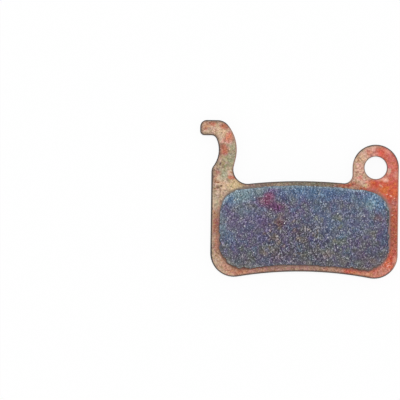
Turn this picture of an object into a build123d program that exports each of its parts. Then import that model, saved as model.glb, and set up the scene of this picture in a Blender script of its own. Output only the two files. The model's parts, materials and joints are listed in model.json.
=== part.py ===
from build123d import *

import os
from math import asin, cos, degrees, radians, sin, sqrt, tan

# Bicycle disc brake pad: a stamped steel backing plate that carries a sintered friction block.
# The pad slides in its caliper on a pin through the eye, and the hook keeps it from turning.
# The origin lies on the piston axis, on the back face that the piston presses.
# +Z points towards the rotor, +Y away from the rotor axis, and the hook is on the -X side.

# Backing plate, in millimetres: top and bottom are measured from the piston axis, at mid width
plate_width = 36.5
plate_thickness = 1.8
plate_top = 8.4
plate_bottom = 9.2
plate_corner_radius = 4.6
die_roll = 0.4  # rounding that the blanking punch leaves round the back face
burr_break = 0.2  # broken edge round the front face
hole_edge_break = 0.25  # broken edge round the back of each hole

# The long edges of the plate and of the block are arcs about the rotor axis
rotor_axis_drop = 82.7

# Eye for the pad pin: its axis stands above the plate's top edge
eye_hole_diameter = 4.4
eye_outer_radius = 4.5
eye_rise = 2.8
eye_root_radius = 1.65

# Hook: reaches are from the plate's left edge, and the bow is where the shank is furthest right
hook_bow_rise = 5.85  # from the plate's top edge up to the bow
hook_head_rise = 5.8  # from the bow up to the top of the hook
hook_shank_width = 3.5
hook_back_radius = 7.6
hook_back_lean = 14.0  # degrees that the straight part of the back leans out of upright
hook_crown_radius = 2.6
hook_root_radius = 2.8
tip_reach = 2.3
tip_depth = 2.95
tip_upper_radius = 1.3
tip_lower_radius = 0.8
throat_reach = 1.38
throat_radius = 5.3
throat_corner_radius = 1.1
shoulder_radius = 2.0

# Key holes: the block is moulded into the plate through them
key_hole_diameter = 5.6
key_spacing = 21.6
key_recess = 0.7  # from the back face down to the end of a key
key_end_slope = 0.75  # how far the rim of a key's end is drawn in
key_end_drop = 0.5  # how far that rim lies below the end

# Friction block: rims are the margins of plate that stay bare round it
friction_thickness = 2.2
side_rim = 1.72
top_rim = 0.9
bottom_rim = 1.28
friction_corner_radius = 4.9
friction_edge_round = 0.25

# Places that follow from those sizes
left_edge = -plate_width / 2
right_edge = plate_width / 2
eye_centre = (right_edge - eye_outer_radius, plate_top + eye_rise)
key_centres = [(-key_spacing / 2, 0), (key_spacing / 2, 0)]
front_level = plate_thickness


def ring_strip(width, top, bottom):
    """Adds the part of a ring about the rotor axis that lies within a strip of that width."""
    with Locations((0, -rotor_axis_drop)):
        Rectangle(width, rotor_axis_drop + top, align=(Align.CENTER, Align.MIN))
        Circle(rotor_axis_drop + top, mode=Mode.INTERSECT)
        Circle(rotor_axis_drop - bottom, mode=Mode.SUBTRACT)


# Hook outline: a shank bowed to the right between the throat and the back, with a tip turned left
bow_level = plate_top + hook_bow_rise
hook_top = bow_level + hook_head_rise
tip_end = left_edge - tip_reach
tip_underside = hook_top - tip_depth
throat_centre = left_edge + throat_reach - throat_radius
throat_start = throat_centre + sqrt(throat_radius**2 - (tip_underside - bow_level) ** 2)
shoulder = bow_level - sqrt(throat_radius**2 - (left_edge - throat_centre) ** 2)
back_centre = left_edge + throat_reach + hook_shank_width - hook_back_radius
crown_angle = degrees(asin(hook_head_rise / hook_back_radius))
back_start = (
    back_centre + hook_back_radius * cos(radians(hook_back_lean)),
    bow_level - hook_back_radius * sin(radians(hook_back_lean)),
)
back_foot = back_start[0] - back_start[1] * tan(radians(hook_back_lean))

with BuildSketch() as hook_outline:
    with BuildLine():
        hook_back = CenterArc(
            (back_centre, bow_level), hook_back_radius, -hook_back_lean, hook_back_lean + crown_angle
        )
        Polyline(
            hook_back @ 1, (tip_end, hook_top), (tip_end, tip_underside), (throat_start, tip_underside)
        )
        ThreePointArc(
            (throat_start, tip_underside),
            (left_edge + throat_reach, bow_level),
            (left_edge, shoulder),
        )
        Polyline((left_edge, shoulder), (left_edge, 0), (back_foot, 0), hook_back @ 0)
    make_face()

# Plate outline: body, eye and hook joined, then rounded at each corner
corner_roundings = [
    ((left_edge, shoulder), shoulder_radius),
    ((throat_start, tip_underside), throat_corner_radius),
    ((tip_end, tip_underside), tip_lower_radius),
    ((tip_end, hook_top), tip_upper_radius),
    (hook_back @ 1, hook_crown_radius),
    ((back_start[0], plate_top), hook_root_radius),
    ((eye_centre[0] - eye_outer_radius, plate_top), eye_root_radius),
    ((left_edge, -plate_bottom), plate_corner_radius),
    ((right_edge, -plate_bottom), plate_corner_radius),
]

with BuildSketch() as plate_outline:
    ring_strip(plate_width, plate_top, plate_bottom)
    with Locations(eye_centre):
        Circle(eye_outer_radius)
        Rectangle(2 * eye_outer_radius, eye_centre[1], align=(Align.CENTER, Align.MAX))
    add(hook_outline.sketch)
    for corner, radius in corner_roundings:
        fillet(plate_outline.vertices().sort_by_distance(corner)[0], radius)

with BuildPart() as backing_plate:
    add(plate_outline.sketch)
    extrude(amount=plate_thickness)
    back_face = backing_plate.faces().sort_by(Axis.Z)[0]
    fillet(back_face.outer_wire().edges(), die_roll)
    front_face = backing_plate.faces().sort_by(Axis.Z)[-1]
    chamfer(front_face.outer_wire().edges(), burr_break)
    with Locations((*eye_centre, front_level)):
        Hole(eye_hole_diameter / 2)
    with Locations(*[(*centre, front_level) for centre in key_centres]):
        Hole(key_hole_diameter / 2)
    back_face = backing_plate.faces().sort_by(Axis.Z)[0]
    chamfer(back_face.inner_wires().edges(), hole_edge_break)

# Friction block: its keys end below the back face, each with a sloping rim
with BuildPart() as friction_block:
    with BuildSketch(Plane.XY.offset(front_level)) as block_outline:
        ring_strip(plate_width - 2 * side_rim, plate_top - top_rim, plate_bottom - bottom_rim)
        fillet(block_outline.vertices(), friction_corner_radius)
    extrude(amount=friction_thickness)
    friction_face = friction_block.faces().sort_by(Axis.Z)[-1]
    fillet(friction_face.outer_wire().edges(), friction_edge_round)
    with BuildSketch(Plane.XY.offset(front_level)):
        with Locations(*key_centres):
            Circle(key_hole_diameter / 2)
    extrude(amount=key_recess - front_level)
    key_ends = friction_block.faces().sort_by(Axis.Z)[:2]
    chamfer(key_ends.edges(), key_end_drop, key_end_slope)

os.makedirs("parts", exist_ok=True)
for name, piece in (("backing_plate", backing_plate), ("friction_block", friction_block)):
    piece.part.label = name
    export_step(piece.part, f"parts/{name}.step")
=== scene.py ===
import json
import math

import bmesh
import bpy
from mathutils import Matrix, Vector, noise


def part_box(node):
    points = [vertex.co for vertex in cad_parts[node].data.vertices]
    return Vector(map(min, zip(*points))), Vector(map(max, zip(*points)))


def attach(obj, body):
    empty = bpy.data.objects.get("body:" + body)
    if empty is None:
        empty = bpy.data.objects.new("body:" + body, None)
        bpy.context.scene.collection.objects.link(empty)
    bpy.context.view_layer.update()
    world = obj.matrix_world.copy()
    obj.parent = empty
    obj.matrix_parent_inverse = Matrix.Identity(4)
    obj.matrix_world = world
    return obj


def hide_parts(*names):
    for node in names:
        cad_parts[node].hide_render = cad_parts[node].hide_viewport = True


# Bicycle disc brake pad, lying on its back with the friction side up, dressed around its CAD frame.
# Sizes and places are in millimetres in the pad's own frame, colours are screen colours, 0 to 255.
mm = 0.001
screenGamma = 2.2

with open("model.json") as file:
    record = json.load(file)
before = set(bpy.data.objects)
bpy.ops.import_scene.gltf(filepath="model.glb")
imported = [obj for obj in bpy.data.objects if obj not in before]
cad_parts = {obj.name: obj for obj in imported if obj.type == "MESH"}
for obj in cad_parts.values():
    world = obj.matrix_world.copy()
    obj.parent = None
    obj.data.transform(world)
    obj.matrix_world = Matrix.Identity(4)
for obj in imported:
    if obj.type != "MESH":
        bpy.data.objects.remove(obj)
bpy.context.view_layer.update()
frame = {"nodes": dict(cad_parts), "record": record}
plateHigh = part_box("backing_plate")[1] / mm  # the far corner of each piece
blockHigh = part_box("friction_block")[1] / mm
frontLevel = plateHigh.z  # the face of the plate that the block is bonded to
faceLevel = blockHigh.z  # the friction face
pinEye = next(mount for mount in frame["record"]["mounts"] if mount["name"] == "pad_pin_eye")
eyeMiddle = (pinEye["pos_m"][0] / mm, pinEye["pos_m"][1] / mm)
eyeRadius = pinEye["dims"]["r_mm"]
print("frame loaded:", ", ".join(sorted(frame["nodes"])))


def ink(red, green, blue):
    # a screen colour as the linear colour that a shader takes
    def linear(value):
        value /= 255
        return value / 12.92 if value <= 0.04045 else ((value + 0.055) / 1.055) ** 2.4

    return linear(red), linear(green), linear(blue), 1.0


class Wire:
    # an output socket, so that shader maths reads as plain expressions
    def __init__(self, tree, socket=None):
        self.tree = tree
        self.socket = socket

    def make(self, kind, settings=None, sockets=None, out=0):
        node = self.tree.nodes.new("ShaderNode" + kind)
        for name, value in (settings or {}).items():
            if name == "stops":
                ramp = node.color_ramp.elements
                while len(ramp) < len(value):
                    ramp.new(1.0)
                for stop, (place, colour) in zip(ramp, value):
                    stop.position = place
                    stop.color = colour
            else:
                setattr(node, name, value)
        for name, value in (sockets or {}).items():
            if isinstance(value, Wire):
                self.tree.links.new(value.socket, node.inputs[name])
            else:
                node.inputs[name].default_value = value
        return Wire(self.tree, node.outputs[out] if node.outputs else None)

    def maths(self, operation, *values):
        return self.make("Math", {"operation": operation}, dict(enumerate(values)))

    def __add__(self, other):
        return self.maths("ADD", self, other)

    def __radd__(self, other):
        return self.maths("ADD", other, self)

    def __sub__(self, other):
        return self.maths("SUBTRACT", self, other)

    def __rsub__(self, other):
        return self.maths("SUBTRACT", other, self)

    def __mul__(self, other):
        return self.maths("MULTIPLY", self, other)

    def __rmul__(self, other):
        return self.maths("MULTIPLY", other, self)

    def __pow__(self, other):
        return self.maths("POWER", self, other)

    def __abs__(self):
        return self.maths("ABSOLUTE", self)

    def atLeast(self, other):
        return self.maths("MAXIMUM", self, other)

    def rise(self, low, high):
        # 0 up to low, 1 from high on and smooth between them; it falls where low is the greater
        return self.make("MapRange", {"interpolation_type": "SMOOTHSTEP"}, {0: self, 1: low, 2: high})

    def vector(self, operation, *values, out=0):
        values = [(value,) * 3 if isinstance(value, float) else value for value in values]
        return self.make("VectorMath", {"operation": operation}, dict(enumerate((self, *values))), out)

    def warped(self, *waves):
        # the same places, pushed about by soft noise, each wave with its grain and amount
        place = self
        for grain, amount in waves:
            push = place.cloud(grain, out=1).vector("SUBTRACT", (0.5, 0.5, 0.5))
            push = push.vector("MULTIPLY", (1.0, 1.0, 0.0)).vector("MULTIPLY", amount)
            place = place.vector("ADD", push)
        return place

    def within(self, middle, reach, border):
        # 1 in an oval patch and 0 outside; the border is where it ends and is whole, in shares of its reach
        away = self.vector("SUBTRACT", (*middle, 0.0)).vector("DIVIDE", (*reach, 1.0))
        return away.vector("LENGTH", out=1).rise(*border)

    def blend(self, share, colour, how="MIX"):
        settings = {"data_type": "RGBA", "blend_type": how, "clamp_factor": True}
        return self.make("Mix", settings, {0: share, 6: self, 7: colour}, out=2)

    def gamma(self, power):
        return self.make("Gamma", None, {0: self, 1: power})

    def lightened(self, amount):
        # the colour with brightness added, in steps that look even on screen
        return self.gamma(1 / screenGamma).blend(1.0, amount, "ADD").gamma(screenGamma)

    def cloud(self, grain, detail=2.0, roughness=0.5, out=0):
        # soft noise with features of about that size
        sockets = {"Vector": self, "Scale": 1 / grain, "Detail": detail, "Roughness": roughness}
        return self.make("TexNoise", None, sockets, out)

    def patches(self, grain, detail, roughness, border):
        # where such noise is high: the border has the levels where a patch starts and is whole
        return self.cloud(grain, detail, roughness).rise(*border)

    def cells(self, grain, out=0):
        # grains of about that size: out 0 is the distance from a grain's middle, out 1 its random colour
        return self.make("TexVoronoi", None, {"Vector": self, "Scale": 1 / grain}, out)

    def dots(self, grain, radius, share):
        # round specks about a grain apart, each kept or dropped by chance
        dropped = 1.0 - share
        kept = self.cells(grain, out=1).parts()[0].rise(dropped, dropped + 0.03)
        return kept * self.cells(grain).rise(radius / grain, 0.5 * radius / grain)

    def parts(self):
        first = self.make("SeparateXYZ", None, {0: self})
        return [Wire(self.tree, socket) for socket in first.socket.node.outputs]


def newMaterial(name):
    material = bpy.data.materials.new(name)
    material.use_nodes = True
    material.node_tree.nodes.clear()
    return material, Wire(material.node_tree)


# Outlines of the block and of the plate's body: their long edges are arcs about the rotor axis,
# measured from the piston axis at mid width; the plate's top is set far off, as its arms stand up there
rotorDrop = 82.7  # from the piston axis down to the rotor axis
blockLine = {"side": blockHigh.x, "top": blockHigh.y, "bottom": 7.92, "cornerRadius": 4.9}
plateLine = {"side": plateHigh.x, "top": 100.0, "bottom": 9.2, "cornerRadius": 4.6}


def atLeast(value, least):
    return value.atLeast(least) if isinstance(value, Wire) else max(value, least)


def pastLine(line, x, y):
    # distance from an outline, positive outside it, for numbers and for sockets alike
    radius = line["cornerRadius"]
    middle = line["side"] - radius
    outer = rotorDrop + line["top"] - radius
    inner = rotorDrop - line["bottom"] + radius
    fromAxis = (x * x + (y + rotorDrop) ** 2.0) ** 0.5
    side = atLeast(abs(x) - middle, 0.0)
    over = atLeast(fromAxis - outer - side * (middle / outer), 0.0)
    under = atLeast(inner - fromAxis + side * (middle / inner), 0.0)
    return (side ** 2.0 + over ** 2.0 + under ** 2.0) ** 0.5 - radius


tintBorder = (1.45, 0.25)  # where a tint ends and where it is whole, in shares of its reach
speckBorder = (1.2, 0.7)  # the same for a patch of specks
skin = (0.02, 0.005)  # how near to a flat face its own finish starts and is whole


class Surface:
    # a new material, with the places, soft-edged zones and named colours that its finish reads
    def __init__(self, title, look):
        self.material, self.start = newMaterial(title)
        self.place = self.start.make("TexCoord", out=3).vector("MULTIPLY", 1 / mm)
        self.flat = self.place.vector("MULTIPLY", (1.0, 1.0, 0.0))
        self.x, self.y, self.z = self.place.parts()
        self.shade = {name: ink(*colour) for name, colour in look["palette"].items()}
        self.zone = {name: self.bounded(borders) for name, borders in look["zones"].items()}

    def bounded(self, borders):
        # a zone fades in over each of its borders
        axes = {"x": self.x, "y": self.y}
        return math.prod(axes[axis].rise(starts, whole) for axis, starts, whole in borders)

    def past(self, line, *waves):
        # distance from an outline, which waves of noise make ragged
        return pastLine(line, *self.flat.warped(*waves).parts()[:2])

    def ramp(self, value, *stops):
        stops = [(place, self.shade[name]) for place, name in stops]
        return value.make("ValToRGB", {"stops": stops}, {0: value})

    def marks(self, shift, *noiseLook):
        # scattered marks, each kind with noise of its own, taken from a shifted place
        return self.flat.vector("ADD", shift).patches(*noiseLook)

    def streaks(self, stretch, grain, detail, roughness):
        # noise drawn out along the axes whose stretch is small
        return self.place.vector("MULTIPLY", stretch).cloud(grain, detail, roughness)

    def stainedAndShaded(self, colour, away, stains):
        # stains and painted shade along an outline: colour, distances where each starts and is whole, zone
        # and share
        for name, border, where, share in stains:
            colour = colour.blend(away.rise(*border) * self.zone[where] * share, self.shade[name])
        return colour

    def tinted(self, colour, flat, tints):
        # heat tints: soft patches, each with a colour, a middle, a reach and a share
        for name, middle, reach, share in tints:
            colour = colour.blend(flat.within(middle, reach, tintBorder) * share, self.shade[name])
        return colour

    def speckled(self, colour, flat, specks, share):
        # specks, each kind with a colour, a middle, a reach, how far apart, how big and what share is kept
        for name, middle, reach, grain, radius, kept in specks:
            speck = flat.within(middle, reach, speckBorder) * flat.dots(grain, radius, kept)
            colour = colour.blend(speck * share, self.shade[name])
        return colour

    def finish(self, sockets):
        shader = self.start.make("BsdfPrincipled", None, sockets)
        self.start.make("OutputMaterial", None, {"Surface": shader})
        return self.material


# Backing plate: copper-plated front with heat tints, dark grey paint on the back and the walls
plateLook = {
    "palette": {
        "sand": (204, 175, 151),
        "tan": (184, 153, 131),
        "gold": (208, 182, 138),
        "olive": (156, 140, 110),
        "sage": (154, 154, 124),
        "mint": (180, 178, 152),
        "salmon": (198, 148, 128),
        "rose": (200, 112, 100),
        "red": (188, 84, 57),
        "ember": (204, 86, 62),
        "orange": (204, 92, 54),
        "amber": (204, 104, 46),
        "rust": (154, 88, 66),
        "clay": (182, 88, 52),
        "moss": (122, 122, 101),
        "brown": (132, 112, 103),
        "bark": (104, 70, 52),
        "cream": (220, 190, 156),
        "blush": (238, 184, 166),
        "mauve": (130, 100, 94),
        "umber": (84, 62, 48),
        "russet": (112, 66, 52),
        "plum": (152, 122, 120),
        "lead": (112, 110, 108),
        "stone": (138, 136, 132),
        "paint": (87, 86, 83),
        "etch": (76, 76, 74),
        "soot": (44, 40, 36),
        "pitch": (18, 15, 13),
        "stain": (98, 95, 90),
        "rubbedAndSheen": (146, 141, 134),
    },
    "tints": [
        # right side, from the bottom corner up
        ("red", (17.4, -1.0), (1.8, 7.0), 0.6),
        ("rust", (17.2, -2.0), (1.2, 5.0), 0.5),
        ("rose", (17.6, 4.4), (1.0, 1.6), 0.6),
        ("mauve", (17.2, 4.2), (0.9, 1.8), 0.35),
        ("orange", (16.4, -6.0), (0.9, 2.0), 0.6),
        ("rose", (14.6, -9.0), (1.0, 0.7), 0.6),
        ("salmon", (12.0, -9.8), (4.5, 1.0), 0.5),
        ("salmon", (15.6, -8.9), (1.4, 0.8), 0.5),
        ("blush", (17.8, -7.5), (0.5, 1.8), 0.45),
        ("orange", (16.4, -7.4), (1.0, 1.2), 0.45),
        ("orange", (11.5, -9.5), (1.8, 0.4), 0.3),
        ("gold", (11.5, -9.6), (2.2, 0.5), 0.25),
        ("orange", (9.6, -9.2), (1.8, 0.4), 0.4),
        # bottom, towards the left
        ("tan", (5.4, -8.8), (2.0, 0.8), 0.5),
        ("clay", (5.6, -8.6), (2.4, 0.6), 0.4),
        ("mauve", (6.2, -8.8), (2.4, 0.7), 0.2),
        ("rust", (0.6, -8.6), (4.6, 0.9), 0.6),
        ("rust", (-6.2, -8.8), (3.6, 0.9), 0.65),
        ("salmon", (-6.4, -9.2), (2.4, 0.5), 0.4),
        ("plum", (-2.6, -8.7), (7.0, 0.8), 0.4),
        ("salmon", (-11.0, -9.2), (2.6, 1.0), 0.7),
        ("rust", (-11.0, -9.2), (3.0, 0.9), 0.35),
        ("tan", (-16.2, -8.0), (1.8, 1.8), 0.8),
        ("clay", (-14.6, -8.4), (1.6, 0.8), 0.35),
        ("clay", (-13.0, -9.4), (2.4, 0.8), 0.45),
        ("clay", (-15.9, -7.2), (0.9, 0.7), 0.3),
        # left side, upwards
        ("tan", (-17.6, -5.6), (1.0, 2.8), 0.7),
        ("mauve", (-17.4, -4.4), (0.9, 2.4), 0.45),
        ("olive", (-17.9, -6.0), (0.5, 1.0), 0.5),
        ("clay", (-16.9, -4.0), (0.6, 2.4), 0.5),
        ("rust", (-17.2, 0.2), (1.3, 2.6), 0.8),
        ("mint", (-17.5, 4.4), (0.9, 2.0), 0.45),
        ("gold", (-13.4, 7.6), (2.2, 1.3), 0.85),
        ("cream", (-16.2, 7.4), (1.2, 0.9), 0.35),
        ("bark", (-16.7, 7.1), (0.6, 0.2), 0.6),
        ("rust", (-17.6, 6.5), (0.4, 0.4), 0.6),
        ("rust", (-17.2, 8.0), (0.6, 0.4), 0.8),
        ("clay", (-17.3, 8.9), (0.4, 0.4), 0.4),
        ("rust", (-17.2, 9.9), (0.5, 0.6), 0.8),
        ("bark", (-17.0, 10.7), (0.4, 0.3), 0.7),
        # hook, upwards
        ("red", (-14.4, 9.0), (0.9, 0.55), 0.8),
        ("mauve", (-15.1, 8.4), (0.5, 0.3), 0.5),
        ("sage", (-15.9, 9.8), (0.9, 1.6), 0.85),
        ("mint", (-15.6, 9.4), (0.8, 1.4), 0.6),
        ("sage", (-14.6, 12.6), (1.7, 2.2), 0.95),
        ("sage", (-14.0, 14.9), (0.9, 1.3), 0.8),
        ("olive", (-16.0, 11.7), (1.2, 1.2), 0.75),
        ("bark", (-16.5, 11.6), (0.22, 0.2), 0.9),
        ("bark", (-15.6, 10.9), (0.3, 0.2), 0.7),
        ("rust", (-15.9, 14.2), (1.2, 1.5), 0.6),
        ("red", (-15.8, 14.2), (0.8, 1.0), 0.7),
        ("mauve", (-15.8, 14.2), (0.8, 1.0), 0.12),
        ("ember", (-15.0, 16.8), (0.9, 1.0), 0.65),
        ("blush", (-15.9, 15.8), (0.6, 0.4), 0.3),
        ("red", (-16.0, 18.8), (0.7, 0.8), 0.7),
        ("clay", (-15.0, 19.0), (1.0, 0.7), 0.5),
        ("red", (-18.0, 19.2), (0.6, 0.6), 0.7),
        ("clay", (-19.3, 18.9), (0.8, 0.7), 0.5),
        ("tan", (-18.6, 18.0), (1.0, 0.6), 0.6),
        ("cream", (-16.7, 17.9), (1.2, 0.8), 0.6),
        # eye, clockwise from its left
        ("salmon", (10.6, 10.6), (1.6, 2.6), 0.45),
        ("blush", (10.4, 11.4), (0.9, 1.0), 0.4),
        ("salmon", (11.6, 13.4), (1.6, 1.2), 0.5),
        ("gold", (10.7, 12.9), (0.7, 0.6), 0.6),
        ("cream", (11.5, 13.4), (0.8, 0.6), 0.3),
        ("bark", (10.7, 13.0), (0.25, 0.25), 0.7),
        ("rose", (13.6, 14.2), (1.6, 1.2), 0.6),
        ("rose", (12.4, 14.3), (0.5, 0.8), 0.6),
        ("blush", (13.1, 14.9), (0.7, 0.4), 0.7),
        ("blush", (13.4, 13.7), (0.4, 0.3), 0.6),
        ("bark", (12.9, 13.8), (0.25, 0.25), 0.7),
        ("ember", (15.1, 14.3), (1.3, 1.0), 0.9),
        ("rose", (16.6, 12.6), (1.3, 2.2), 0.75),
        ("blush", (16.2, 14.9), (1.0, 0.8), 0.45),
        ("tan", (15.8, 9.8), (0.6, 0.5), 0.45),
        ("sand", (16.3, 10.7), (0.35, 0.55), 0.8),
        ("rose", (17.3, 9.6), (0.9, 1.4), 0.7),
        ("blush", (17.8, 9.8), (0.5, 1.0), 0.3),
        ("blush", (15.8, 8.9), (0.5, 0.45), 0.9),
        # below the eye
        ("orange", (16.2, 6.6), (3.6, 1.8), 0.8),
        ("rose", (13.5, 6.9), (1.3, 0.5), 0.6),
        ("amber", (15.2, 6.8), (1.0, 0.8), 0.95),
        ("ember", (13.6, 8.0), (1.4, 0.6), 0.65),
        ("sand", (12.9, 9.0), (1.0, 0.35), 0.6),
        ("blush", (14.8, 9.1), (1.4, 0.5), 0.5),
        ("amber", (12.8, 8.1), (0.9, 0.6), 0.45),
        ("blush", (14.8, 7.5), (0.3, 0.3), 0.7),
        ("rose", (11.9, 8.4), (0.4, 0.4), 0.9),
        ("rose", (10.5, 9.3), (0.6, 0.35), 0.8),
        ("blush", (10.4, 8.7), (1.0, 0.7), 0.4),
        ("gold", (11.8, 7.8), (0.7, 0.5), 0.7),
        # top edge
        ("moss", (3.6, 8.1), (4.4, 1.0), 0.9),
        ("moss", (-2.0, 8.2), (5.0, 1.0), 0.9),
        ("brown", (-8.6, 7.8), (3.4, 0.9), 0.9),
        ("rust", (-11.2, 7.8), (1.4, 0.4), 0.35),
        ("mauve", (5.0, 7.9), (2.4, 0.6), 0.3),
        ("clay", (8.4, 7.7), (2.3, 0.6), 0.9),
        ("clay", (11.2, 7.0), (1.6, 0.35), 0.8),
    ],
    "tintWarp": ((1.3, 1.4), (0.4, 0.7)),  # grain and amount of the noise that makes the tints ragged
    "bondWarp": (0.7, 0.4),  # the same for the line where the block is bonded
    "edgeWarp": (0.5, 0.12),  # and for the plate's edge
    "mottle": 1.2,  # size of the cloudy patches in the plating
    "redFrom": (11.0, 13.2),  # where the plating starts to turn red and where it has, at the level below
    "redLevel": 7.0,
    "redLean": 0.3,  # how far that border moves to the right for each millimetre upwards
    "paleRim": ((1.15, 1.5), 0.6),  # pale rim on the left: its distances from the block, and its share
    "hueNoise": (0.6, 0.05, 0.03),  # its grain, its share, and what lively plating adds to that
    "calm": 0.6,  # how much calmer the plating is on the right and at the top of the eye
    # scuffs, flecks and pits: shift of their noise, then its grain, detail, roughness and border
    "scuffs": ((31.0, 7.0, 0.0), 0.6, 4.0, 0.7, (0.54, 0.64)),
    "flecks": ((5.0, 43.0, 0.0), 0.4, 3.0, 0.65, (0.56, 0.66)),
    "pits": ((17.0, 19.0, 0.0), 0.4, 3.0, 0.6, (0.63, 0.69)),
    "scuffFilter": (0.62, 0.5, 0.44, 1.0),  # what a scuff or a pit leaves of each colour
    "pitFilter": (0.3, 0.22, 0.18, 1.0),
    "fine": 0.3,  # size of the fine grain
    "dust": 0.2,  # size of the finest grain
    "grainLight": (0.2, -0.022),  # spread and level of the brightness that the grain adds
    "specks": [
        ("rust", (10.6, 10.6), (1.5, 2.6), 0.45, 0.22, 0.55),
        ("bark", (8.9, 7.9), (1.6, 0.5), 0.45, 0.24, 0.5),
        ("rust", (17.3, -3.0), (0.9, 6.0), 0.7, 0.26, 0.4),
        ("olive", (10.2, 8.5), (1.2, 0.6), 0.5, 0.25, 0.4),
        ("bark", (-17.1, 8.8), (0.9, 2.8), 0.7, 0.26, 0.45),
        ("rust", (-18.6, 18.6), (2.4, 1.2), 0.8, 0.3, 0.4),
        ("bark", (-13.6, 7.6), (1.6, 0.9), 0.6, 0.2, 0.25),
        ("blush", (15.9, -7.9), (1.3, 1.3), 0.36, 0.18, 0.55),
        ("blush", (16.6, 6.4), (2.0, 2.0), 0.8, 0.2, 0.4),
        ("blush", (17.3, -1.0), (0.9, 5.6), 0.62, 0.18, 0.35),
        ("cream", (-15.6, 16.4), (1.6, 1.6), 0.7, 0.25, 0.25),
    ],
    "speckShare": 0.8,
    "zones": {  # each border has its axis, where the zone starts and where it is whole
        "right": [("x", 11.5, 14.0)],
        "eyeTop": [("x", 8.0, 9.0), ("y", 11.8, 12.8)],
        "eyeFoot": [("x", 12.0, 14.0), ("y", 4.0, 6.0)],
        "outerLeft": [("x", -8.0, -14.0), ("y", 5.0, 3.0), ("y", -7.5, -4.5)],
        "belowTop": [("y", 6.5, 4.5)],
        "lowLeft": [("x", -6.0, -9.0), ("y", -3.5, -6.0)],
        "lowRight": [("x", 8.0, 11.0), ("y", -3.5, -6.0)],
        "top": [("y", 3.5, 5.0)],
        "topLeft": [("x", -7.0, -10.0), ("y", 3.5, 5.0)],
        "topRight": [("x", 12.0, 15.0), ("y", 2.0, 3.6)],
        "rightSide": [("x", 13.0, 15.5), ("y", 4.6, 3.4)],
        "bareAndLitRight": [("x", 14.0, 17.0), ("y", -9.5, -7.5), ("y", 13.0, 9.0)],
        "bareAndLitHook": [("x", -15.4, -14.4), ("x", -10.0, -12.0), ("y", 10.0, 11.5)],
        "bareAndLitEye": [("x", 10.8, 9.8), ("x", 8.0, 8.8), ("y", 13.5, 12.0), ("y", 7.6, 8.6)],
        "leftEdge": [("x", -16.4, -17.6), ("y", 12.0, 8.0)],
        "lowerLeft": [("y", -3.0, -5.0), ("y", -8.5, -6.5)],
        "arms": [("y", 6.0, 9.0)],
        "eyeArm": [("x", 5.0, 8.0)],
        "hookLeft": [("x", -15.5, -16.5)],
        "underTip": [("y", 18.4, 17.4), ("y", 16.0, 16.8)],
        "body": [("y", 11.0, 9.5)],
    },
    "seamStainsAndShade": [  # along the block: stains, and the umber line along its top is a painted shadow
        ("lead", (0.65, 0.15), "topLeft", 0.65),
        ("stone", (1.0, 0.1), "topRight", 0.5),
        ("umber", (0.5, 0.2), "top", 0.28),
        ("plum", (0.3, -0.05), "rightSide", 0.75),
    ],
    "bareAndLit": [("bareAndLitRight", 0.75), ("bareAndLitHook", 0.6), ("bareAndLitEye", 0.6)],  # zones where the edge is lighter: bare metal, and painted light where it faces the lamp
    "scaleReach": 1.2,  # how far dark scale and painted shade creep in from the edges
    "scaleTilt": ((0.0, 0.09), (0.06, 0.15)),  # tilts where faint and dark scale, with its painted shade, start and are whole
    "sootAndShadeLine": (-0.44, -0.25),  # the same for the band of soot and painted shade, as a distance from the plate's edge
    "holeRing": (0.24, 0.1),  # for the dark ring round the eye's hole, as a distance from it
    "holeMargin": (0.3, 0.9),  # and for the scale further out
    "rimPatch": 0.8,  # size of light and dark patches on the broken edge
    "edgeBreak": 0.2,  # height of the broken edge round the front face
    "edgeBlur": 0.05,  # softness of its lower border
    "dieRoll": 0.4,  # height of the rounded edge round the back
    "panel": ((0.0, 1.0), (11.3, 6.4)),  # plain etched field on the back: middle and size
    "panelBlur": 0.06,  # softness of its border
    "paintPatch": 3.0,  # size of light and dark patches in the paint
    # marks from the rolling mill, and upright ones from the punch: stretch, grain, detail and roughness
    "rolledMarks": ((0.1, 1.0, 1.0), 0.35, 3.0, 0.5),
    "punchMarks": ((1.0, 1.0, 0.08), 0.3, 3.0, 0.5),
    "rubbedAndSheenFrom": (0.01, 0.06),  # heights between which the rounded edge starts to be rubbed bare and painted with a highlight
    "rubbedAndSheenTo": 0.15,  # and up to which it is
    "rubbingAndSheen": (1.1, 4.0, 0.7, (0.54, 0.68)),  # grain, detail, roughness and border of its noise
    "smudges": (1.8, 5.0, 0.7, (0.57, 0.7)),  # the same for smudges
    "nicks": (1.1, 0.14, 0.25),  # how far apart, how big and what share is kept
    "nickWarp": (0.4, 0.3),  # grain and amount of the noise that makes them ragged
    "etchGrain": 0.22,
    "reliefDepth": 0.06,
}


def copperPlating(at, ragged, lively, look):
    # cloudy tan, red towards the right, then the heat tints
    mottle = ragged.cloud(look["mottle"], 4.0, 0.65)
    copper = at.ramp(mottle, (0.34, "olive"), (0.44, "tan"), (0.55, "sand"), (0.64, "salmon"))
    across, up = ragged.parts()[:2]
    slanted = across - look["redLean"] * (up - look["redLevel"])
    copper = copper.blend(slanted.rise(*look["redFrom"]), at.shade["red"])
    copper = at.tinted(copper, ragged, look["tints"])
    away, share = look["paleRim"]
    pale = at.past(blockLine, look["bondWarp"]).rise(*away) * at.zone["outerLeft"]
    copper = copper.blend(pale * share, at.shade["cream"])
    grain, least, more = look["hueNoise"]
    return copper.blend(least + more * lively, ragged.cloud(grain, out=1), "LINEAR_LIGHT")


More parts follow.
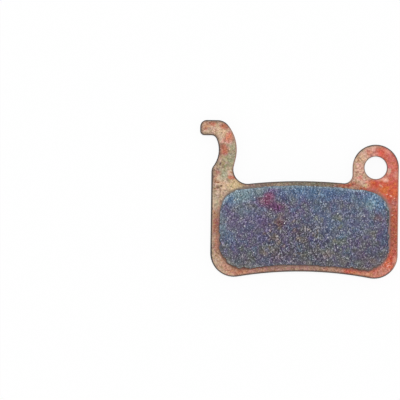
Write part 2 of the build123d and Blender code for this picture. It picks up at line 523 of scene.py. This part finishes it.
def edgeScaleAndShade(at, copper, ragged, look):
    # scale left along the bond line, round every edge and round the eye's hole, with painted shade at the
    # foot of the block, on the left edges and under the hook's tip, and painted light on lit edges
    lowLeft, lowRight = at.zone["lowLeft"], at.zone["lowRight"]
    bond = at.past(blockLine, look["bondWarp"])
    # painted shade along the foot of the block, and a darker painted shadow line hugging it at the lower
    # corners
    footShade = bond.rise(0.6, 0.05) * at.zone["belowTop"] * (0.62 - 0.4 * lowLeft)
    copper = copper.blend(footShade, at.shade["mauve"])
    footShadeLine = bond.rise(0.36, 0.15) * (0.65 * lowLeft + 0.35 * lowRight)
    copper = copper.blend(footShadeLine, at.shade["russet"])
    # stains along the block, and a painted shadow line along its top
    copper = at.stainedAndShaded(copper, at.past(blockLine), look["seamStainsAndShade"])

    # the edge is lighter where it is bare and where painted light falls; painted shade makes it heavier on
    # the left
    right, hook, eye = (at.zone[where] * share for where, share in look["bareAndLit"])
    bareAndLit = right.atLeast(hook).atLeast(eye)
    shadedLeft = at.zone["leftEdge"] * (0.6 + 0.4 * at.zone["lowerLeft"])
    rounded = at.start.make("Bevel", {"samples": 6}, {"Radius": look["scaleReach"] * mm}).parts()[2]
    fromHole = at.flat.vector("DISTANCE", (*eyeMiddle, 0.0), out=1) - eyeRadius
    tilt = (1 - rounded) * fromHole.rise(*look["holeMargin"])
    faint, dark = (tilt.rise(*border) for border in look["scaleTilt"])
    arms = at.zone["arms"] * (1 - bareAndLit) * (1 - 0.4 * at.zone["eyeArm"])
    hookLeft = at.zone["hookLeft"] * (0.7 + 0.8 * at.zone["underTip"])
    # dark scale near the edges, with painted shade heavier on the hook's left and under its tip
    copper = copper.blend(faint * arms * (0.3 + 0.35 * hookLeft), at.shade["umber"])
    copper = copper.blend(dark * arms * 0.7, at.shade["umber"])
    # a band of soot inside the plate's edge, with painted shade that makes it heavier on the left
    soot = at.past(plateLine, look["edgeWarp"]).rise(*look["sootAndShadeLine"])
    soot = soot * at.zone["body"] * (1 - bareAndLit) * (0.5 + 0.4 * shadedLeft)
    copper = copper.blend(soot, at.shade["soot"])
    copper = copper.blend(fromHole.rise(*look["holeRing"]) * 0.75, at.shade["umber"])

    # the broken edge itself: darker on the left as painted shade, and lighter, partly as painted light, in
    # the bare and lit zones
    rim = at.ramp(ragged.cloud(look["rimPatch"]), (0.4, "soot"), (0.65, "umber"))
    rim = rim.blend(shadedLeft, at.shade["pitch"]).blend(bareAndLit, at.shade["salmon"])
    return copper, rim


def greyPaint(at, look):
    # paint on the back and the walls, with its relief and its roughness
    place, z, dieRoll = at.place, at.z, look["dieRoll"]
    paint = at.ramp(place.cloud(look["paintPatch"], 3.0), (0.3, "paint"), (0.75, "stain"))
    rolled = at.streaks(*look["rolledMarks"])
    paint = paint.blend(1.0, 0.92 + 0.16 * rolled, "MULTIPLY")
    sheared = at.streaks(*look["punchMarks"])
    onWall = z.rise(dieRoll * 0.6, dieRoll)
    paint = paint.blend(onWall, 0.55 + 0.9 * sheared, "MULTIPLY")

    # rubbed edge, partly a painted highlight, then smudges and nicks
    onRoll = z.rise(*look["rubbedAndSheenFrom"]) * z.rise(dieRoll, look["rubbedAndSheenTo"])
    paint = paint.blend(onRoll * place.patches(*look["rubbingAndSheen"]) * 0.6, at.shade["rubbedAndSheen"])
    paint = paint.blend(place.patches(*look["smudges"]) * 0.35, at.shade["soot"])
    nick = place.warped(look["nickWarp"]).dots(*look["nicks"])
    paint = paint.blend(nick * 0.5, at.shade["rubbedAndSheen"])

    # plain etched field on the back
    inPanel = z.rise(*skin)
    for along, centre, span in zip((at.x, at.y), *look["panel"]):
        outside, inside = span / 2 + look["panelBlur"], span / 2 - look["panelBlur"]
        inPanel = inPanel * abs(along - centre).rise(outside, inside)
    pits = place.cells(look["etchGrain"], out=1).parts()[0]
    etched = at.ramp(pits, (0.45, "pitch"), (1.0, "etch"))
    paint = paint.blend(inPanel * 0.95, etched)
    relief = 0.1 * rolled + 0.5 * onWall * sheared - 0.3 * inPanel
    return paint, relief, 0.4 + 0.1 * onWall + 0.3 * inPanel


def platedSteel(look):
    at = Surface("platedSteel", look)
    lively = 1 - look["calm"] * at.zone["right"].atLeast(at.zone["eyeTop"])
    broad, (small, nudge) = look["tintWarp"]
    ragged = at.flat.warped(broad, (small, nudge * lively))
    copper = copperPlating(at, ragged, lively, look)

    # brown scuffs, pale flecks, pits and specks, then the fine grain
    pit = at.marks(*look["pits"])
    copper = copper.blend(at.marks(*look["scuffs"]) * lively * 0.8, look["scuffFilter"], "MULTIPLY")
    copper = copper.blend(at.marks(*look["flecks"]) * lively * 0.35, at.shade["cream"])
    copper = copper.blend(pit * lively * 0.7, look["pitFilter"], "MULTIPLY")
    copper = at.speckled(copper, ragged, look["specks"], look["speckShare"])
    fine = at.flat.cloud(look["fine"], 3.0, 0.7)
    dust = at.flat.cells(look["dust"], out=1).parts()[0]
    spread, level = look["grainLight"]
    copper = copper.lightened(spread * (fine + dust - 1.0) * (1 - 0.3 * at.zone["eyeFoot"]) + level)

    copper, rim = edgeScaleAndShade(at, copper, ragged, look)
    paint, relief, roughness = greyPaint(at, look)
    onFront = (frontLevel - at.z).rise(*skin)
    edgeFoot = frontLevel - look["edgeBreak"]
    onEdge = at.z.rise(edgeFoot - look["edgeBlur"], edgeFoot)
    height = onFront * (0.5 * fine + 0.25 * dust - pit) + (1 - onFront) * relief
    depth = look["reliefDepth"] * mm
    return at.finish({
        "Base Color": paint.blend(onEdge, rim).blend(onFront, copper),
        "Metallic": onFront * 0.2,
        "Roughness": roughness + onFront * (0.03 + 0.25 * fine),
        "Normal": at.start.make("Bump", None, {"Strength": 1.0, "Distance": depth, "Height": height}),
    })


plate = frame["nodes"]["backing_plate"]
plate.data.materials.clear()
plate.data.materials.append(platedSteel(plateLook))
print("backing plate: plated and painted")


# Friction block: pressed metal powder, so its faces are grains with pores between them
blockLook = {
    "weld": 0.001,  # corners of the CAD mesh that are nearer to each other are one
    "voxel": 0.1,
    "sliver": 0.01,  # shorter edges are left over from the remesh, and go
    "bondedGap": 0.02,  # what lies nearer to the plate than this, and faces it, is bonded
    "bondedTilt": -0.98,
    "heldUpTo": 0.05,  # no grain moves up to this height above the bond with the plate
    "freeOver": 0.25,  # and this much higher every grain moves freely
    "grain": 0.36,
    "grainStep": 0.03,  # how far single grains lie below their neighbours
    "poreDepth": 0.1,
    "poreShare": 0.06,
    "seamDepth": 0.03,  # grooves between grains
    "seamWidth": 0.35,  # of those grooves, as a share of a grain
    "wallCrumble": 0.32,  # ragged walls and top edge
    "crumblePitch": 1.9,  # waves of that in a millimetre
    "crumbleSwing": (0.2, 0.6),  # its mean and its swing
    "wear": [  # where the outline has crumbled: place, reach and depth, which is below 0 where it stands out
        ((9.4, -8.5), 1.2, 0.15),
        ((11.7, -8.9), 1.0, -0.15),
        ((3.6, -8.1), 2.2, -0.1),
        ((-4.4, -8.1), 1.6, 0.1),
        ((-12.2, -8.8), 1.4, 0.2),
        ((-15.6, -7.6), 0.9, 0.1),
        ((-16.4, -5.3), 0.8, -0.15),
        ((14.0, -8.4), 1.0, -0.07),
        ((16.4, -5.2), 1.0, -0.12),
        ((16.5, -3.4), 0.7, 0.2),
        ((16.5, -0.6), 2.8, 0.16),
        ((2.6, -8.0), 0.5, 0.12),
        ((-16.5, -3.4), 0.8, 0.12),
        ((-7.9, 7.1), 1.0, -0.12),
        ((-2.0, 7.5), 3.6, -0.1),
        ((-6.0, 7.3), 1.0, -0.12),
        ((-15.3, 5.0), 1.8, -0.15),
        ((-13.0, 6.7), 1.5, -0.12),
        ((11.4, 6.7), 1.2, -0.08),
    ],
    "wearReach": 1.5,  # how far in from the outline the wear is felt
    "fray": (0.6, 0.34),  # how the outline frays at the lower corners: grain and depth
    "frayFrom": 15.0,  # where that starts, as a distance to the side plus one downwards
    "frayOver": 4.0,  # how much further on it is at its deepest
    "dust": 0.15,  # size of the finest grain
    "grainLie": (1.15, 0.7, 1.0),  # scale of the grains' pattern: they are a little longer along Y
    "grainSkew": (2.2, 0.31),  # most grains are dark: the power their brightness is raised to, and its mean
    # patches where grains aren't smeared over, and streaks along the top: stretch, grain, detail, roughness
    "rough": ((1.0, 0.6, 0.0), 1.6, 3.0, 0.6),
    "roughBorder": (0.36, 0.64),  # levels of noise where such a patch starts and is whole
    "topStreaks": ((1.0, 0.15, 0.0), 0.2, 1.0, 0.5),
    "pores": (0.14, 0.06),  # chances of a grain to be a faint or a full pore
    "glints": (0.945, 0.975),  # chances above which a grain starts to glint and does
    "warmth": (2.2, 2.0, 0.5, (0.42, 0.58)),  # warm glints: grain, detail, roughness and border of the noise
    "bigGlints": (0.65, 0.15, 0.2),  # big painted glints: how far apart, how big and what share is kept
    "keyTop": (0.05, 0.15),  # how far below the bond the look of the keys starts and is whole
    "keyRim": (0.72, 0.85),  # heights between which a key's end turns dark: dark paint, and painted shade in its recess
    "keyBlotch": (1.1, 4.0, 0.65),  # grain, detail and roughness of the noise in its paint
    "keyScratches": (0.4, 3.0, 0.6, (0.6, 0.7)),  # the same for scratches, and its border
    "keyRelief": (0.7, 4.0),  # grain and detail
    "wallTop": (0.9, 0.25),  # how far below the friction face its look starts and is whole
    "reliefDepth": 0.05,
    "palette": {
        "slate": (88, 100, 124),
        "grey": (98, 102, 112),
        "ash": (106, 103, 103),
        "dusk": (98, 88, 118),
        "shade": (84, 76, 92),
        "blue": (82, 108, 142),
        "azure": (96, 130, 164),
        "teal": (124, 147, 156),
        "indigo": (84, 80, 122),
        "violet": (100, 82, 118),
        "magenta": (90, 46, 90),
        "crimson": (122, 58, 96),
        "maroon": (106, 72, 84),
        "tan": (138, 118, 102),
        "olive": (116, 116, 98),
        "pore": (34, 34, 42),
        "glint": (216, 220, 226),
        "edgeHighlight": (150, 170, 182),
        "warmGlint": (206, 200, 196),
        "bigGlint": (232, 232, 234),
        "crumb": (150, 146, 136),
        "wall": (84, 78, 78),
        "paint": (74, 74, 72),
        "soot": (34, 27, 24),
        "stain": (100, 82, 74),
        "smudge": (56, 48, 44),
        "scratch": (126, 122, 116),
    },
    "tints": [  # later ones lie over earlier ones
        ("slate", (8.5, 1.0), (6.0, 4.0), 0.55),
        ("dusk", (-10.0, 0.0), (6.0, 4.0), 0.5),
        ("ash", (0.0, -6.4), (13.0, 2.2), 0.4),
        ("ash", (-12.6, -7.0), (3.0, 1.3), 0.5),
        ("ash", (12.4, -6.8), (3.0, 1.3), 0.4),
        ("shade", (13.0, -6.4), (2.2, 1.2), 0.3),
        ("shade", (0.2, -2.8), (2.8, 1.8), 0.6),
        ("shade", (-4.9, 1.0), (1.6, 1.6), 0.35),
        ("slate", (2.8, 2.6), (2.2, 3.6), 0.5),
        ("shade", (1.7, -0.4), (1.8, 1.4), 0.45),
        ("indigo", (-2.1, 1.5), (1.3, 0.9), 0.6),
        ("shade", (11.6, -5.2), (2.8, 2.4), 0.3),
        ("blue", (2.0, 6.4), (10.0, 1.8), 0.85),
        ("teal", (-13.4, 5.2), (2.8, 1.8), 0.85),
        ("teal", (-10.6, 6.2), (2.6, 1.2), 0.5),
        ("blue", (-14.8, 4.0), (1.2, 1.6), 0.5),
        ("azure", (-14.5, 4.8), (0.9, 0.8), 0.5),
        ("blue", (13.4, 4.9), (2.2, 2.2), 0.7),
        ("azure", (13.2, 4.9), (1.5, 1.0), 0.8),
        ("teal", (12.7, 4.0), (1.2, 1.0), 0.7),
        ("azure", (10.8, 4.8), (1.3, 1.1), 0.35),
        ("azure", (14.8, 3.8), (1.0, 0.9), 0.7),
        ("indigo", (-4.8, 5.8), (1.1, 1.2), 0.3),
        ("crimson", (-7.5, 4.4), (1.4, 1.3), 0.9),
        ("crimson", (-6.9, 5.3), (1.0, 1.0), 0.9),
        ("violet", (-6.2, 6.5), (1.3, 0.8), 0.8),
        ("magenta", (-5.4, 3.4), (1.7, 1.1), 0.95),
        ("indigo", (-9.6, 1.5), (1.4, 1.2), 0.7),
        ("violet", (-8.4, 0.2), (1.4, 0.9), 0.8),
        ("indigo", (-8.2, -2.6), (1.8, 1.2), 0.7),
        ("dusk", (-14.8, 1.0), (1.6, 1.8), 0.6),
        ("teal", (-11.4, 2.3), (2.6, 1.0), 0.3),
        ("blue", (-14.6, -3.0), (1.4, 1.4), 0.4),
        ("teal", (-16.0, 0.0), (1.0, 3.0), 0.35),
        ("tan", (-4.8, 1.8), (0.8, 0.6), 0.45),
        ("maroon", (-4.8, 0.4), (1.2, 0.9), 0.7),
        ("maroon", (-4.4, -0.8), (3.6, 4.6), 0.1),
        ("azure", (4.5, -0.5), (5.0, 4.5), 0.09),
        ("tan", (-5.7, -2.6), (0.9, 0.8), 0.6),
        ("tan", (-7.8, -5.6), (0.8, 0.6), 0.45),
        ("violet", (-4.4, -7.0), (3.6, 0.8), 0.4),
        ("shade", (-4.8, -6.4), (1.3, 0.8), 0.75),
        ("shade", (0.0, -7.3), (6.0, 0.6), 0.25),
        ("maroon", (-1.6, -1.4), (1.0, 0.8), 0.35),
        ("tan", (-0.4, -3.0), (1.2, 0.7), 0.45),
        ("indigo", (1.6, -2.8), (0.9, 0.6), 0.7),
        ("slate", (4.8, -1.3), (1.8, 1.4), 0.6),
        ("olive", (6.2, 1.6), (1.2, 0.8), 0.4),
        ("olive", (6.6, -3.2), (1.1, 0.7), 0.5),
        ("olive", (0.6, -5.8), (1.3, 0.8), 0.5),
        ("tan", (4.4, -5.9), (1.0, 0.7), 0.4),
        ("olive", (13.5, -2.1), (0.6, 1.0), 0.4),
        ("indigo", (14.5, -2.2), (0.7, 0.7), 0.6),
        ("maroon", (14.4, 1.4), (1.0, 0.8), 0.6),
        ("violet", (10.4, -5.8), (1.4, 0.8), 0.4),
        ("tan", (13.3, -6.9), (0.9, 0.8), 0.4),
        ("shade", (12.2, -8.0), (1.8, 0.7), 0.4),
    ],
    "tintWarp": ((1.1, 1.3), (0.45, 0.35)),  # grain and amount of the noise that makes the tints ragged
    "edgeWarp": (0.5, 0.2),  # the same for the outline
    "tintPatch": 2.0,  # size of the patches under the tints
    "hueNoise": (2.2, 0.025),  # its grain and its share
    "specks": [
        ("tan", (-2.6, -2.2), (6.5, 4.6), 0.95, 0.5, 0.4),
        ("olive", (5.6, -1.4), (5.5, 6.0), 1.2, 0.6, 0.3),
        ("maroon", (-3.4, -0.6), (4.5, 3.0), 1.3, 0.6, 0.25),
        ("indigo", (-6.0, -1.6), (6.0, 4.0), 1.4, 0.6, 0.25),
    ],
    "speckShare": 0.45,
    "sparkle": ((-1.6, -3.2), (6.5, 3.8), (1.4, 0.5)),  # liveliest grains: middle, reach and border
    "zones": {  # each border has its axis, where the zone starts and where it is whole
        "upper": [("y", 2.0, 5.0)],
        "leftSide": [("x", -14.0, -15.5), ("y", -5.0, -2.0)],
        "farRight": [("x", 9.0, 12.0)],
        "lower": [("y", -4.5, -6.5)],
        "left": [("x", -7.0, -10.0)],
        "lowerRight": [("x", 7.0, 10.0), ("y", -4.5, -6.5)],
        "rightSide": [("x", 15.2, 15.8), ("y", 3.0, 1.0), ("y", -4.5, -3.0)],
        "rightHalf": [("x", 2.0, 9.0)],
        "leftEnd": [("x", -10.0, -12.5), ("y", 3.0, 1.0)],
        "streaked": [("y", 1.0, 5.0)],
        "streakedEnd": [("x", 8.0, 12.0)],
        "lowerHalf": [("y", 0.0, -5.0)],
    },
    "edgeStainsAndShade": [  # along the block's outline: a tan stain, and painted shade in the pore colour on the right side
        ("tan", (-0.8, -0.1), "lowerRight", 0.6),
        ("pore", (-0.7, -0.45), "rightSide", 0.35),
    ],
}


def grainDepth(point, normal, look):
    # how far a point of the pressed surface lies below the CAD face
    reach, middles = noise.voronoi(point / look["grain"])
    scatter = 57.0  # takes the middle of every grain to a cell of its own
    chance = noise.cell(middles[0] * scatter) * 0.5 + 0.5
    seam = max(0.0, 1.0 - (reach[1] - reach[0]) / look["seamWidth"])
    depth = look["seamDepth"] * seam + look["grainStep"] * chance
    if chance < look["poreShare"]:
        depth += look["poreDepth"]
    edge = 1.0 - abs(normal.z)
    mean, swing = look["crumbleSwing"]
    depth += look["wallCrumble"] * edge * (noise.noise(point * look["crumblePitch"]) * swing + mean)
    return depth


def edgeWear(point, look):
    # how an upright of the block is pushed in where its outline has crumbled
    past = pastLine(blockLine, point.x, point.y)
    depth = sum(
        deep * math.exp(-2.0 * (point.xy - Vector(at)).length_squared / reach ** 2)
        for at, reach, deep in look["wear"]
    )
    grain, deepest = look["fray"]
    corner = (abs(point.x) - point.y - look["frayFrom"]) / look["frayOver"]
    depth += deepest * noise.noise(point.xy.to_3d() / grain) * min(1.0, max(0.0, corner))
    share = max(0.0, 1.0 + past / look["wearReach"])
    step = 0.01
    slopeX = pastLine(blockLine, point.x + step, point.y) - pastLine(blockLine, point.x - step, point.y)
    slopeY = pastLine(blockLine, point.x, point.y + step) - pastLine(blockLine, point.x, point.y - step)
    return Vector((slopeX, slopeY, 0.0)) * (-depth * share / (2.0 * step))


def evenMesh(node, look):
    # the CAD block as an even mesh, in millimetres
    blank = bmesh.new()
    blank.from_mesh(node.data)
    bmesh.ops.remove_doubles(blank, verts=blank.verts, dist=look["weld"] * mm)
    bmesh.ops.scale(blank, vec=Vector((1, 1, 1)) / mm, verts=blank.verts)
    blankMesh = bpy.data.meshes.new("frictionBlank")
    blank.to_mesh(blankMesh)
    blank.free()
    former = bpy.data.objects.new("frictionBlank", blankMesh)
    bpy.context.collection.objects.link(former)
    remesh = former.modifiers.new("powder", "REMESH")
    remesh.mode = "VOXEL"
    remesh.voxel_size = look["voxel"]
    powder = former.evaluated_get(bpy.context.evaluated_depsgraph_get())
    block = bmesh.new()
    block.from_mesh(powder.to_mesh())
    bpy.data.objects.remove(former)
    bmesh.ops.dissolve_degenerate(block, dist=look["sliver"], edges=block.edges)
    block.normal_update()
    return block


def isBonded(face, look):
    # on the flat side that lies on the plate
    gap = abs(face.calc_center_median().z - frontLevel)
    return gap < look["bondedGap"] and face.normal.z < look["bondedTilt"]


def pressedBlock(node, look):
    block = evenMesh(node, look)
    moves = []
    for vert in block.verts:
        # only the outline moves at the bond with the plate
        free = (vert.co.z - frontLevel - look["heldUpTo"]) / look["freeOver"]
        depth = min(1.0, max(0.0, free)) * grainDepth(vert.co, vert.normal, look)
        moves.append(edgeWear(vert.co, look) - vert.normal * depth)
    for vert, move in zip(block.verts, moves):
        vert.co += move

    # the bonded side is flat and hidden, so it needs few faces
    bonded = [face for face in block.faces if isBonded(face, look)]
    bmesh.ops.delete(block, geom=bonded, context="FACES")
    openEdges = [edge for edge in block.edges if edge.is_boundary]
    bmesh.ops.triangle_fill(block, use_beauty=True, normal=(0.0, 0.0, -1.0), edges=openEdges)
    bmesh.ops.scale(block, vec=Vector((mm, mm, mm)), verts=block.verts)
    mesh = bpy.data.meshes.new("frictionPad")
    block.to_mesh(mesh)
    block.free()
    mesh.shade_smooth()
    piece = bpy.data.objects.new("frictionPad", mesh)
    bpy.context.collection.objects.link(piece)
    return piece


def heatTinted(at, look):
    # tints run smoothly over many grains; a painted highlight lies along the upper and left outline, and
    # crumbs along the lower one
    ragged = at.flat.warped(*look["tintWarp"])
    broad = ragged.cloud(look["tintPatch"], 1.0)
    colour = at.ramp(broad, (0.36, "slate"), (0.46, "dusk"), (0.56, "grey"), (0.7, "ash"))
    colour = at.tinted(colour, ragged, look["tints"])
    colour = at.speckled(colour, ragged, look["specks"], look["speckShare"])
    grain, share = look["hueNoise"]
    colour = colour.blend(share, at.flat.cloud(grain, 1.0, out=1), "LINEAR_LIGHT")
    edge = at.past(blockLine, look["edgeWarp"])
    # painted highlight along the block's top and left edges
    upper = at.zone["upper"].atLeast(0.2 * at.zone["leftSide"])
    edgeHighlight = edge.rise(-0.75, 0.0) * upper * (0.75 - 0.3 * at.zone["farRight"])
    colour = colour.blend(edgeHighlight, at.shade["edgeHighlight"])
    crumbs = edge.rise(-1.1, -0.1) * at.zone["lower"] * (0.1 + 0.45 * at.zone["left"])
    colour = colour.blend(crumbs, at.shade["crumb"])
    # stains, and painted shade along the right side
    return at.stainedAndShaded(colour, edge, look["edgeStainsAndShade"])


def pressedGrains(at, colour, look):
    # every grain has its own brightness; also the relief of the grains, and where they glint
    along = at.place.vector("MULTIPLY", look["grainLie"])
    red, green, blue = along.cells(look["dust"], out=1).parts()
    coarse = along.cells(look["grain"], out=1).parts()[0]
    power, mean = look["grainSkew"]
    bright = red ** power - mean
    rough = at.streaks(*look["rough"]).rise(*look["roughBorder"])
    lively = at.flat.within(*look["sparkle"])
    contrast = 0.22 + 0.25 * rough + 0.1 * lively - 0.03 * at.zone["rightHalf"] - 0.05 * at.zone["leftEnd"]
    streak = (at.streaks(*look["topStreaks"]) - 0.5) * at.zone["streaked"]
    light = contrast * bright + 0.03 * coarse + (0.25 + 0.2 * at.zone["streakedEnd"]) * streak
    light = light - 0.03 * at.zone["lowerHalf"] - 0.03 * lively - 0.046
    colour = colour.lightened(light)

    pore = green.rise(*look["pores"])
    glint = blue.rise(*look["glints"])
    warmth = at.flat.patches(*look["warmth"])
    colour = colour.blend(pore * 0.6, at.shade["pore"])
    colour = colour.blend(glint * (1 - warmth) * 0.4, at.shade["glint"])
    colour = colour.blend(glint * warmth * 0.4, at.shade["warmGlint"])
    # big painted glints, where grains aren't smeared over
    colour = colour.blend(at.flat.dots(*look["bigGlints"]) * rough * 0.85, at.shade["bigGlint"])
    return colour, 0.3 * coarse + 0.5 * red - pore, glint


def keyPaintAndShade(at, look):
    # blotched paint on the ends of the keys, with rims darkened by dark paint and by painted shade in the
    # recess
    blotch = at.place.cloud(*look["keyBlotch"])
    paint = at.ramp(blotch, (0.34, "smudge"), (0.48, "paint"), (0.64, "stain"))
    paint = paint.blend(at.place.patches(*look["keyScratches"]) * 0.5, at.shade["scratch"])
    return paint.blend(at.z.rise(*look["keyRim"]) * 0.8, at.shade["soot"])


def sinteredMetal(look):
    at = Surface("sinteredMetal", look)
    colour, grains, glint = pressedGrains(at, heatTinted(at, look), look)
    onFace = (faceLevel - at.z).rise(*look["wallTop"])
    colour = colour.blend((1 - onFace) * 0.75, at.shade["wall"])
    onKey = (frontLevel - at.z).rise(*look["keyTop"])
    height = (1 - onKey) * grains + onKey * 1.5 * at.place.cloud(*look["keyRelief"])
    depth = look["reliefDepth"] * mm
    return at.finish({
        "Base Color": colour.blend(onKey, keyPaintAndShade(at, look)),
        "Metallic": 0.15,
        "Roughness": 0.7 - 0.25 * glint * (1 - onKey) - 0.2 * onKey,
        "Normal": at.start.make("Bump", None, {"Strength": 0.8, "Distance": depth, "Height": height}),
    })


frictionPad = pressedBlock(frame["nodes"]["friction_block"], blockLook)
frictionPad.data.materials.append(sinteredMetal(blockLook))
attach(frictionPad, "root")
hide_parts("friction_block")
print("friction pad:", len(frictionPad.data.polygons), "faces")


# Studio: white floor, even sky, and a soft sun almost overhead
studio = {
    "floorRadius": 4000.0,
    "floorDrop": 0.02,  # how far the floor lies below the pad
    "floorColour": (254, 254, 254),
    "skyLevel": 0.45,
    "sunLevel": 1.7,
    "sunFrom": (0.03, 0.1, 1.0),  # direction
    "sunSpread": 12.0,  # degrees
    "floorGlow": 0.85,  # share of plain white in what the camera sees of the floor
}


def seenDirectly(start):
    # 1 for what the camera sees, also as a reflection or through something clear
    rays = ("Is Camera Ray", "Is Glossy Ray", "Is Transmission Ray")
    camera, glossy, clear = (start.make("LightPath", out=ray) for ray in rays)
    return camera.atLeast(glossy).atLeast(clear)


def studioFloor(look):
    floor = bmesh.new()
    bmesh.ops.create_circle(floor, cap_ends=True, segments=64, radius=look["floorRadius"] * mm)
    bmesh.ops.translate(floor, vec=(0, 0, -look["floorDrop"] * mm), verts=floor.verts)
    mesh = bpy.data.meshes.new("floor")
    floor.to_mesh(mesh)
    floor.free()
    material, start = newMaterial("floorPaper")
    paper = start.make("BsdfDiffuse", None, {"Color": ink(*look["floorColour"])})
    white = start.make("Emission", None, {"Color": (1, 1, 1, 1), "Strength": 1.0})
    glow = seenDirectly(start) * look["floorGlow"]
    both = start.make("MixShader", None, {0: glow, 1: paper, 2: white})
    start.make("OutputMaterial", None, {"Surface": both})
    mesh.materials.append(material)
    piece = bpy.data.objects.new("floor", mesh)
    bpy.context.collection.objects.link(piece)


def studioLight(look):
    world = bpy.data.worlds.new("studio")
    bpy.context.scene.world = world
    world.use_nodes = True
    world.node_tree.nodes.clear()
    start = Wire(world.node_tree)
    sky = start.make("Background", None, {"Color": (1, 1, 1, 1), "Strength": look["skyLevel"]})
    backdrop = start.make("Background", None, {"Color": (1, 1, 1, 1), "Strength": 1.0})
    both = start.make("MixShader", None, {0: seenDirectly(start), 1: sky, 2: backdrop})
    start.make("OutputWorld", None, {"Surface": both})
    lamp = bpy.data.lights.new("sun", "SUN")
    lamp.energy = look["sunLevel"]
    lamp.angle = math.radians(look["sunSpread"])
    sun = bpy.data.objects.new("sun", lamp)
    sun.rotation_euler = Vector(look["sunFrom"]).to_track_quat("Z", "Y").to_euler()
    bpy.context.collection.objects.link(sun)


studioFloor(studio)
studioLight(studio)
bpy.context.scene.view_settings.view_transform = "Standard"
print("studio ready")


# Camera: straight above, framed as the photograph is
photoView = {
    "aim": (-20.4, 4.45),  # the middle of the picture, which has the pad on its right
    "frameWidth": 77.89,  # what the picture spans at the plate's front
    "height": 1000.0,
    "turn": 0.8,  # degrees
    "sensor": 36.0,
}


def photoCamera(look):
    lens = bpy.data.cameras.new("camera")
    lens.sensor_width = look["sensor"]
    lens.lens = look["sensor"] * look["height"] / look["frameWidth"]
    camera = bpy.data.objects.new("camera", lens)
    camera.location = Vector((*look["aim"], frontLevel + look["height"])) * mm
    camera.rotation_euler = (0.0, 0.0, math.radians(look["turn"]))
    bpy.context.collection.objects.link(camera)
    bpy.context.scene.camera = camera


photoCamera(photoView)
